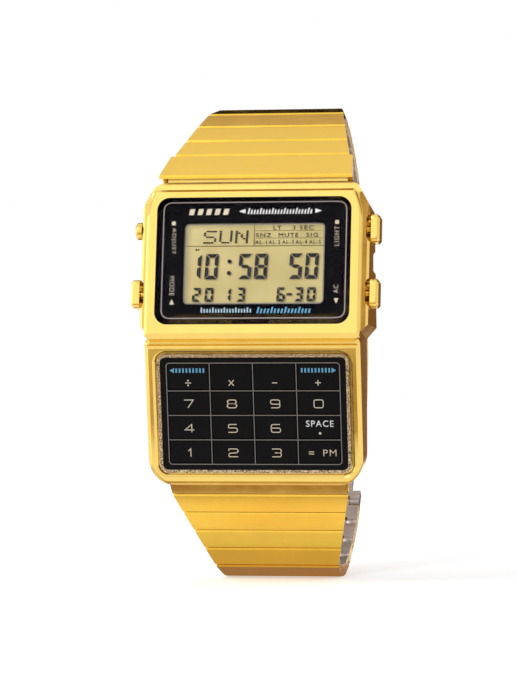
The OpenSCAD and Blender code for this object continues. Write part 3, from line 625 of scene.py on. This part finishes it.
def bend(points, r, steps=4):
    """The same path with its inner corners rounded."""
    made = [points[0]]
    for a, b, c in zip(points, points[1:], points[2:]):
        a, b, c = Vector(a), Vector(b), Vector(c)
        reach = min(r, (a - b).length / 2, (c - b).length / 2)
        start = b + (a - b).normalized() * reach
        end = b + (c - b).normalized() * reach
        for k in range(steps + 1):
            t = k / steps
            made.append(tuple((1 - t) ** 2 * start + 2 * t * (1 - t) * b + t * t * end))
    made.append(points[-1])
    return made


def disc(x, y, r, steps=16):
    """Circle around x, y, anticlockwise."""
    turns = [2 * math.pi * k / steps for k in range(steps)]
    return [(x + r * math.cos(a), y + r * math.sin(a)) for a in turns]


# Ticks of a scale: how many to a full one, and the others' height and each one's width in shares
TICK_GROUP = 4
TICK_HEIGHT = 0.72
TICK_WIDTH = 0.5


def scale_marks(batch, x0, x1, y0, y1, count, lean=0.25):
    """Plain scale of ticks from x0 to x1, which stand on y0 and reach up to y1."""
    step = (x1 - x0) / count
    for i in range(count):
        x = x0 + i * step
        top = y1 if i % TICK_GROUP == 0 else y0 + (y1 - y0) * TICK_HEIGHT
        shift = lean * (top - y0)
        w = step * TICK_WIDTH
        batch.shape([(x, y0), (x + w, y0), (x + w + shift, top), (x + shift, top)])


# Display: heights over its face
MASK_TOP = -1.1
LCD_TOP = -1.35
MASK_PRINT = (MASK_TOP, MASK_TOP + 0.02)
LCD_EDGE = (LCD_TOP, LCD_TOP + 0.04)
LCD_SHADE = (LCD_TOP + 0.01, LCD_TOP + 0.025)
LCD_LINES = (LCD_TOP + 0.03, LCD_TOP + 0.05)
LCD_INK = (LCD_TOP + 0.07, LCD_TOP + 0.09)
SEAL = (-1.25, -0.12)

# Digits of seven segments, and the letters of the day as rows of dots
SEGMENTS = {"0": "abcdef", "1": "bc", "2": "abged", "3": "abgcd", "4": "fgbc", "5": "afgcd",
            "6": "afgedc", "7": "abc", "8": "abcdefg", "9": "abcdfg"}
DOTS = {"S": ["01111", "10000", "10000", "01110", "00001", "00001", "11110"],
        "U": ["10001", "10001", "10001", "10001", "10001", "10001", "01110"],
        "N": ["10001", "11001", "10101", "10101", "10011", "10001", "10001"]}
LCD_LEAN = 0.06

# Rows of digits: each digit's left edge, the row's foot, and width, height, stroke and gap
TIME_ROW = (("1", -10.17), ("0", -7.56), ("5", -2.43), ("8", 0), ("5", 5.28), ("0", 7.72))
TIME_FOOT = 8.1
TIME_SIZE = (1.98, 3.9, 0.58, 0.08)
COLON = ((-3.73, 10.83), (-3.78, 9.05))
COLON_R = 0.33
DATE_ROW = (("2", -9.38), ("0", -7.44), ("1", -4.78), ("3", -2.58),
            ("6", 3.52), ("3", 6.22), ("0", 8.12))
DATE_FOOT = 4.66
DATE_SIZE = (1.3, 2.15, 0.4, 0.06)
DATE_DASH = (5.08, 5.58, 5.92, 5.92)
# The digits' painted shadow on the panel lies this far to the right and down
SHADE_X = 0.2
SHADE_Y = -0.16

DAY_ROW = (("S", -7.7), ("U", -5.27), ("N", -2.83))
DAY_TOP = 15.46
DOT_STEP_X = 0.41
DOT_STEP_Y = 0.29
DOT_W = 0.34
DOT_H = 0.22

# Small words on the panel: left and right edge, and middle height
LCD_WORDS = (("LT", 2.85, 4.1, 15.96), ("3 SEC", 5.76, 8.97, 15.96),
             ("SNZ", 0.2, 2.54, 14.84), ("MUTE", 3.67, 6.66, 14.84), ("SIG", 7.9, 9.66, 14.84))
LCD_WORD_H = 0.6
ALARM_X = 0.98
ALARM_Y = 13.75
ALARM_STEP = 2.06
ALARM_W = 1.75
ALARM_H = 0.58

# Words on the mask beside the pushers: middle, height, length and turn
SIDE_WORDS = (("ADJUST", -12.38, 13.98, 0.74, 4.05, -90), ("MODE", -12.43, 7.08, 0.74, 2.95, -90),
              ("LIGHT", 12.56, 14.6, 0.72, 3.0, 90), ("AC", 12.59, 6.5, 0.72, 1.25, 90))
SIDE_BOLD = -0.012
SIDE_SQUARES = ((-12.42, 16.72), (12.55, 16.72))
SQUARE_HALF = 0.28
# Middle of each triangle, and 1 where it points up
SIDE_TRIANGLES = ((-12.4, 4.6, 1), (12.66, 4.72, -1))
TRIANGLE_HALF = 0.36
TRIANGLE_TIP = 0.46

# Scales of ticks: left and right end, foot, top and count, and the arrowheads of the upper one
TOP_SCALE = (-1.15, 8.85, 18.05, 18.95, 22)
TOP_HEADS = ([(-2.45, 18.5), (-1.45, 18.14), (-1.45, 18.86)],
             [(10.2, 18.5), (9.2, 18.86), (9.2, 18.14)])
LEFT_SCALE = (-7.9, 0.0, 2.95, 3.75, 18)
RIGHT_SCALE = (0.6, 8.95, 2.85, 3.78, 16)

# Fine lines that divide the panel: left, lower, right and upper side of each
LCD_RULES = ((-10.6, 13.14, 10.6, 13.26), (-0.11, 13.26, 0.01, 16.7),
             (0.01, 15.5, 10.6, 15.56), (0.01, 14.36, 10.6, 14.42))
# Rings: left, lower, right and upper side, corner radius and line width
LCD_RING = (-10.62, 4.38, 10.62, 16.57, 0.62, 0.2)
MASK_RING = (-13.98, 2.12, 13.98, 19.9, 1.2, 0.13)
SEAL_RING = (-14.825, 1.025, 14.825, 20.475, 1.92, 0.03)

# Five plain slanted blocks at the upper left
BLOCK_X = -10.15
BLOCK_STEP = 1.31
BLOCK_W = 0.75
BLOCK_LEAN = 0.25
BLOCK_LOW = 17.98
BLOCK_HIGH = 18.9


def digit(batch, char, x, y, w, h, t, g):
    """Seven-segment digit with its lower left corner at x, y, strokes t wide and gaps g."""
    m = h / 2
    shapes = {
        "a": [(g, h), (w - g, h), (w - t - g / 2, h - t), (t + g / 2, h - t)],
        "d": [(g, 0), (t + g / 2, t), (w - t - g / 2, t), (w - g, 0)],
        "f": [(0, h - g), (t, h - t - g), (t, m + t / 2), (t / 2, m + g), (0, m + g)],
        "e": [(0, g), (0, m - g), (t / 2, m - g), (t, m - t / 2), (t, t + g)],
        "b": [(w, h - g), (w, m + g), (w - t / 2, m + g), (w - t, m + t / 2), (w - t, h - t - g)],
        "c": [(w, g), (w - t, t + g), (w - t, m - t / 2), (w - t / 2, m - g), (w, m - g)],
        "g": [(t / 2 + g, m), (t + g / 2, m + t / 2 - g / 2),
              (w - t - g / 2, m + t / 2 - g / 2), (w - t / 2 - g, m),
              (w - t - g / 2, m - t / 2 + g / 2), (t + g / 2, m - t / 2 + g / 2)],
    }
    for key in SEGMENTS[char]:
        batch.shape([(x + px + LCD_LEAN * py, y + py) for px, py in shapes[key]])


def time_and_date(batch, dx=0.0, dy=0.0):
    """Both rows of digits, moved by dx and dy."""
    for char, x in TIME_ROW:
        digit(batch, char, x + dx, TIME_FOOT + dy, *TIME_SIZE)
    for x, y in COLON:
        batch.shape(disc(x + dx, y + dy, COLON_R))
    for char, x in DATE_ROW:
        digit(batch, char, x + dx, DATE_FOOT + dy, *DATE_SIZE)
    x0, y0, x1, y1 = DATE_DASH
    batch.bar(x0 + dx, y0 + dy, x1 + dx, y1 + dy)


def day_letter(batch, letter, x):
    """Letter made of dots, with the middle of its first column at x."""
    rows = DOTS[letter]
    for row, line in enumerate(rows):
        lean = LCD_LEAN * (len(rows) - 1 - row) * DOT_STEP_Y
        py = DAY_TOP - row * DOT_STEP_Y
        for col, dot in enumerate(line):
            if dot == "1":
                px = x + col * DOT_STEP_X + lean
                batch.bar(px - DOT_W / 2, py - DOT_H / 2, px + DOT_W / 2, py + DOT_H / 2)


def make_lcd():
    # Painted shadow: a darker copy of the digits, moved right and down
    shade = Batch(DISPLAY, LCD_SHADE)
    time_and_date(shade, SHADE_X, SHADE_Y)
    shade.piece("lcd_shade", "lcd_shade", "watch", "lcd")

    ink = Batch(DISPLAY, LCD_INK)
    time_and_date(ink)
    for letter, x in DAY_ROW:
        day_letter(ink, letter, x)
    # Small dot and arrow over the time
    ink.bar(-9.0, 12.5, -8.75, 12.8)
    ink.shape([(-8.62, 12.5), (-8.3, 12.65), (-8.62, 12.8)])
    for words, x0, x1, y in LCD_WORDS:
        ink.text(words, (x0 + x1) / 2, y, LCD_WORD_H, x1 - x0)
    for i in range(5):
        ink.text("AL-%d" % (i + 1), ALARM_X + i * ALARM_STEP, ALARM_Y, ALARM_H, ALARM_W)
    ink.piece("lcd_segments", "lcd_ink", "watch", "lcd")

    lines = Batch(DISPLAY, LCD_LINES)
    for sides in LCD_RULES:
        lines.bar(*sides)
    lines.piece("lcd_lines", "lcd_faint_ink", "watch", "lcd")

    edge = Batch(DISPLAY, LCD_EDGE)
    edge.ring(*LCD_RING)
    edge.piece("lcd_edge", "print_grey", "watch", "lcd")


def make_mask_print():
    line = Batch(DISPLAY, MASK_PRINT)
    line.ring(*MASK_RING)
    line.piece("mask_line", "print_rose", "watch", "mask")

    labels = Batch(DISPLAY, MASK_PRINT)
    for x, y in SIDE_SQUARES:
        labels.bar(x - SQUARE_HALF, y - SQUARE_HALF, x + SQUARE_HALF, y + SQUARE_HALF)
    for x, y, way in SIDE_TRIANGLES:
        foot = y - TRIANGLE_HALF * way
        tip = y + TRIANGLE_TIP * way
        labels.shape([(x - TRIANGLE_HALF, foot), (x + TRIANGLE_HALF, foot), (x, tip)][::way])
    for words, x, y, height, length, turn in SIDE_WORDS:
        labels.text(words, x, y, height, length, SIDE_BOLD, turn)
    labels.piece("mask_labels", "print_cream", "watch", "mask")

    ticks = Batch(DISPLAY, MASK_PRINT)
    scale_marks(ticks, *TOP_SCALE)
    for points in TOP_HEADS:
        ticks.shape(points)
    ticks.piece("mask_ticks", "print_white", "watch", "mask")

    blocks = Batch(DISPLAY, MASK_PRINT)
    for i in range(5):
        x = BLOCK_X + i * BLOCK_STEP
        top = x + BLOCK_LEAN
        blocks.shape([(x, BLOCK_LOW), (x + BLOCK_W, BLOCK_LOW),
                      (top + BLOCK_W, BLOCK_HIGH), (top, BLOCK_HIGH)])
    blocks.piece("mask_blocks", "print_cream", "watch", "mask")

    left = Batch(DISPLAY, MASK_PRINT)
    scale_marks(left, *LEFT_SCALE, lean=0)
    left.piece("mask_low_left", "print_pale_blue", "watch", "mask")

    right = Batch(DISPLAY, MASK_PRINT)
    scale_marks(right, *RIGHT_SCALE)
    right.piece("mask_low_right", "print_blue", "watch", "mask")


def make_seal():
    """Thin black seal in the gap around the crystal."""
    seal = Batch(DISPLAY, SEAL)
    seal.ring(*SEAL_RING)
    seal.piece("crystal_seal", "rubber", "watch", "rubber")


# Keypad: its grid, and heights over its face
CELL_W = 6.6
CELL_H = 3.75
FIRST_H = 4.25
GRID_TOP = -4.97
GRID_LOW = GRID_TOP - FIRST_H - 3 * CELL_H
RIB_TOP = -0.45
KEY_TOP = -0.40
KEY_PRINT = (KEY_TOP, KEY_TOP + 0.012)
RIB_LINES = (RIB_TOP, RIB_TOP + 0.045)
RIB_LINE_W = 0.12

LEGEND_W = 0.135
LEGEND_DROP = 0.1
LEGEND_BEND = 0.32
DIGIT_W = 1.4
DIGIT_H = 1.2
# The signs of the first row stand lower in their keys, below the arrows
SIGN_DROP = 0.8
DIVIDE_DOT_Y = 0.36
DIVIDE_DOT_R = 0.13
# From the middle of the equals key to its word and its sign
PM_X = 1.5
EQUALS_X = -1.3
# From the middle of the point key to its point and its word
POINT_X = 0.1
POINT_Y = -0.85
POINT_R = 0.2
SPACE_X = 0.1
SPACE_Y = 0.62

# Arrow over a key: its tip and middle height from the key's middle, its head, and its bars
ARROW_REACH = 2.8
ARROW_RISE = 1.0
ARROW_HEAD_L = 0.7
ARROW_HEAD_H = 0.8
ARROW_BARS = 9
ARROW_FIRST = 1.05
ARROW_STEP = 0.52
ARROW_BAR_W = 0.26
ARROW_BAR_H = 0.68

# Strokes of the wide key digits, in shares of their width and height
STROKES = {
    "1": [[(-0.22, 0.22), (0.05, 0.5), (0.05, -0.5)]],
    "2": [[(-0.5, 0.25), (-0.5, 0.5), (0.5, 0.5), (0.5, 0.02), (-0.5, -0.06), (-0.5, -0.5)],
          [(-0.5, -0.5), (0.5, -0.5)]],
    "3": [[(-0.5, 0.5), (0.5, 0.5), (0.5, 0), (-0.2, 0)],
          [(0.2, 0), (0.5, 0), (0.5, -0.5), (-0.5, -0.5)]],
    "4": [[(0.24, -0.5), (0.24, 0.5), (-0.5, -0.2), (0.5, -0.2)]],
    "5": [[(0.45, 0.5), (-0.45, 0.5), (-0.45, 0.06)],
          [(-0.45, 0.06), (0.5, 0.06), (0.5, -0.5), (-0.5, -0.5)]],
    "6": [[(0.45, 0.5), (-0.5, 0.5), (-0.5, -0.5), (0.5, -0.5), (0.5, 0.04), (-0.5, 0.04)]],
    "7": [[(-0.5, 0.5), (0.5, 0.5), (-0.1, -0.5)]],
    "8": [[(0, 0.02), (-0.46, 0.02), (-0.46, 0.5), (0.46, 0.5), (0.46, 0.02), (0, 0.02)],
          [(0, 0.02), (-0.5, 0.02), (-0.5, -0.5), (0.5, -0.5), (0.5, 0.02), (0, 0.02)]],
    "9": [[(-0.45, -0.5), (0.5, -0.5), (0.5, 0.5), (-0.5, 0.5), (-0.5, -0.04), (0.5, -0.04)]],
    "0": [[(0, 0.5), (-0.5, 0.5), (-0.5, -0.5), (0.5, -0.5), (0.5, 0.5), (0, 0.5)]],
    "divide": [[(-0.32, 0), (0.32, 0)]],
    "multiply": [[(-0.28, -0.35), (0.28, 0.35)], [(-0.28, 0.35), (0.28, -0.35)]],
    "minus": [[(-0.28, 0), (0.28, 0)]],
    "plus": [[(-0.3, 0), (0.3, 0)], [(0, -0.36), (0, 0.36)]],
    "equals": [[(-0.28, 0.14), (0.28, 0.14)], [(-0.28, -0.14), (0.28, -0.14)]],
}
SHARP = ("1", "4", "7")


def key_place(row, col):
    """Middle of a key's cell."""
    if row == 0:
        y = GRID_TOP - FIRST_H / 2
    else:
        y = GRID_TOP - FIRST_H - (row - 0.5) * CELL_H
    return (col - 1.5) * CELL_W, y


def make_legend(row, col, name):
    """A key's digit or sign."""
    x, y = key_place(row, col)
    batch = Batch(KEYPAD, KEY_PRINT)
    if row == 0:
        y -= SIGN_DROP
    elif name == "equals":
        batch.text("PM", x + PM_X, y - LEGEND_DROP, 1.0, 2.0, bold=-0.006)
        x += EQUALS_X
    elif name == "point":
        batch.shape(disc(x + POINT_X, y + POINT_Y, POINT_R))
    for path in STROKES.get(name, []):
        points = [(x + px * DIGIT_W, y - LEGEND_DROP + py * DIGIT_H) for px, py in path]
        batch.line(points if name in SHARP else bend(points, LEGEND_BEND), LEGEND_W)
    if name == "divide":
        for way in (-1, 1):
            batch.shape(disc(x, y - LEGEND_DROP + way * DIVIDE_DOT_Y, DIVIDE_DOT_R))
    batch.piece("legend_" + name, "print_cream", "key_" + name, "panel")


def make_arrow(name, col, way):
    """Blue bars that end in an arrowhead, over a key of the first row."""
    x, y = key_place(0, col)
    batch = Batch(KEYPAD, KEY_PRINT)
    middle = y + ARROW_RISE
    tip = x + way * ARROW_REACH
    head = tip - way * ARROW_HEAD_L
    half = ARROW_HEAD_H / 2
    batch.shape([(tip, middle), (head, middle + half), (head, middle - half)][::way])
    half = ARROW_BAR_H / 2
    for i in range(ARROW_BARS):
        left = tip - way * (ARROW_FIRST + i * ARROW_STEP) - ARROW_BAR_W / 2
        batch.bar(left, middle - half, left + ARROW_BAR_W, middle + half)
    batch.piece("arrow_" + name, "print_blue", "key_" + name, "panel")


def make_keypad():
    for row, names in enumerate(KEYS):
        for col, name in enumerate(names):
            make_legend(row, col, name)
    make_arrow("divide", 0, -1)
    make_arrow("plus", 3, 1)

    x, y = key_place(2, 3)
    word = Batch(KEYPAD, KEY_PRINT)
    word.text("SPACE", x + SPACE_X, y + SPACE_Y, 0.98, 4.2, bold=0.012)
    word.piece("mark_point", "print_white", "key_point", "panel")

    lines = Batch(KEYPAD, RIB_LINES)
    side = 2 * CELL_W
    half = RIB_LINE_W / 2
    lines.ring(-side, GRID_LOW, side, GRID_TOP, 0.5, 0.13)
    for col in (1, 2, 3):
        x = (col - 2) * CELL_W
        lines.bar(x - half, GRID_LOW, x + half, GRID_TOP)
    for row in (0, 1, 2):
        y = GRID_TOP - FIRST_H - row * CELL_H
        lines.bar(-side, y - half, side, y + half)
    lines.piece("keypad_lines", "print_grey", "watch", "panel")


# Studio
WORLD_LIGHT = (0.66, 0.66, 0.66, 1)
WHITE = (1, 1, 1, 1)
# Half the floor's side, in metres, and the glow that makes it white where it is seen
FLOOR_HALF = 3
FLOOR_COLOR = (0.8, 0.8, 0.8, 1)
FLOOR_GLOW = 0.47


def upright(start, end, low, high):
    """Corners of a card that stands on the line from start to end."""
    return [(*start, low), (*end, low), (*end, high), (*start, high)]


def lying(x0, x1, y0, y1, z):
    """Corners of a level card at height z."""
    return [(x0, y0, z), (x1, y0, z), (x1, y1, z), (x0, y1, z)]


# Glowing cards before, beside and behind the watch which only reflections show, so their colours
# are painted reflections, dark and pale; and the height of the level ones
LEVEL_CARD_HEIGHT = -36
PAINTED_REFLECTIONS = (
    ("painted_reflection_right", upright((22, 110), (150, 80), -150, 150), rgb(128, 92, 62)),
    ("painted_reflection_far", upright((150, 80), (170, 3), -150, 150), rgb(150, 112, 76)),
    ("painted_reflection_side", upright((15, -180), (120, -180), 10, 120), rgb(178, 143, 99)),
    ("painted_reflection_floor", lying(-160, 120, -260, -100, LEVEL_CARD_HEIGHT), rgb(219, 208, 175)),
    ("painted_reflection_near", lying(-160, -5, -100, -60, LEVEL_CARD_HEIGHT), rgb(206, 180, 150)),
    ("painted_reflection_corner", lying(-5, 120, -100, -60, LEVEL_CARD_HEIGHT), rgb(178, 149, 107)),
    ("painted_reflection_back", upright((-60, 42), (60, 42), 36, 60), rgb(14, 8, 6)),
    ("painted_reflection_high", upright((-60, 42), (60, 42), 60, 74), rgb(203, 185, 178)),
)
# Glowing strips on the floor under the watch which only reflections show, from one Y to the next:
# the floor's shade near the watch, painted into what the metal mirrors
PAINTED_FLOOR_SHADE_HALF = 60
PAINTED_FLOOR_SHADE = (
    (0, 2, rgb(227, 203, 139)),
    (2, 3.7, rgb(165, 132, 88)),
    (3.7, 4.6, rgb(204, 184, 168)),
    (9.7, 12.7, rgb(240, 236, 228)),
    (12.7, 16.5, rgb(214, 196, 172)),
    (16.5, 60, rgb(165, 135, 125)),
)


def shown(tree):
    """1 where a surface is seen straight, mirrored or through glass, 0 where it gives light."""
    path = tree.nodes.new("ShaderNodeLightPath")
    value = path.outputs["Is Camera Ray"]
    for name in ("Is Glossy Ray", "Is Transmission Ray"):
        most = tree.nodes.new("ShaderNodeMath")
        most.operation = "MAXIMUM"
        tree.links.new(value, most.inputs[0])
        tree.links.new(path.outputs[name], most.inputs[1])
        value = most.outputs["Value"]
    return value


def make_world():
    world = bpy.data.worlds.new("studio")
    bpy.context.scene.world = world
    world.use_nodes = True
    nodes = world.node_tree.nodes
    links = world.node_tree.links
    light = nodes["Background"]
    light.inputs["Color"].default_value = WORLD_LIGHT
    seen = nodes.new("ShaderNodeBackground")
    seen.inputs["Color"].default_value = WHITE
    choose = nodes.new("ShaderNodeMixShader")
    links.new(shown(world.node_tree), choose.inputs["Fac"])
    links.new(light.outputs["Background"], choose.inputs[1])
    links.new(seen.outputs["Background"], choose.inputs[2])
    links.new(choose.outputs["Shader"], nodes["World Output"].inputs["Surface"])


def make_floor():
    half = FLOOR_HALF
    low = CAD_BOX[0].z
    mesh = bpy.data.meshes.new("floor")
    mesh.from_pydata(lying(-half, half, -half, half, low), [], [(0, 1, 2, 3)])
    floor = bpy.data.objects.new("floor", mesh)
    bpy.context.scene.collection.objects.link(floor)
    s = Shader("floor", FLOOR_COLOR, 0.9, specular=0.0)
    s.main.inputs["Emission Color"].default_value = WHITE
    glow = s.math("MULTIPLY", shown(s.mat.node_tree), FLOOR_GLOW)
    s.link(glow, s.main.inputs["Emission Strength"])
    mesh.materials.append(s.mat)


def area_light(name, way, distance, size, energy):
    """Soft box that looks at the middle of the watch from that direction."""
    data = bpy.data.lights.new(name, "AREA")
    data.shape = "RECTANGLE"
    data.size = size[0] * MM
    data.size_y = size[1] * MM
    data.energy = energy
    light = bpy.data.objects.new(name, data)
    bpy.context.scene.collection.objects.link(light)
    way = Vector(way).normalized()
    light.location = way * distance * MM
    light.rotation_euler = way.to_track_quat("Z", "Y").to_euler()


def make_card(name, corners, color):
    """Glowing card that only reflections show, standing where a flag beside the camera would be: a
    painted reflection that lights nothing else and casts no shadow.
    """
    mesh = bpy.data.meshes.new(name)
    mesh.from_pydata([Vector(c) * MM for c in corners], [], [(0, 1, 2, 3)])
    card = bpy.data.objects.new(name, mesh)
    bpy.context.scene.collection.objects.link(card)
    mat = bpy.data.materials.new(name)
    mat.use_nodes = True
    main = mat.node_tree.nodes["Principled BSDF"]
    main.inputs["Base Color"].default_value = (0, 0, 0, 1)
    main.inputs["Specular IOR Level"].default_value = 0
    main.inputs["Emission Color"].default_value = color
    main.inputs["Emission Strength"].default_value = 1
    mesh.materials.append(mat)
    card.visible_camera = False
    card.visible_diffuse = False
    card.visible_shadow = False
    card.visible_transmission = False


def make_lights():
    area_light("key_light", (-0.55, -0.62, 0.62), distance=600, size=(260, 260), energy=1.1)
    area_light("front_box", (-0.17, -0.93, 0.34), distance=600, size=(420, 300), energy=0.14)
    area_light("left_box", (-0.97, 0.1, -0.05), distance=450, size=(300, 300), energy=0.28)
    # Painted reflections: cards that only the metal's reflections show
    for name, corners, color in PAINTED_REFLECTIONS:
        make_card(name, corners, color)
    # Painted shade of the floor under the watch, seen only in reflections
    low = CAD_BOX[0].z / MM + 0.01
    for y0, y1, color in PAINTED_FLOOR_SHADE:
        make_card("ground_%d" % y0, lying(-PAINTED_FLOOR_SHADE_HALF, PAINTED_FLOOR_SHADE_HALF, y0, y1, low), color)


make_camera()
make_materials()
dress_nodes()
make_case()
make_band()
make_lcd()
make_mask_print()
make_seal()
make_keypad()
make_world()
make_floor()
make_lights()
bpy.context.scene.view_settings.view_transform = "Standard"
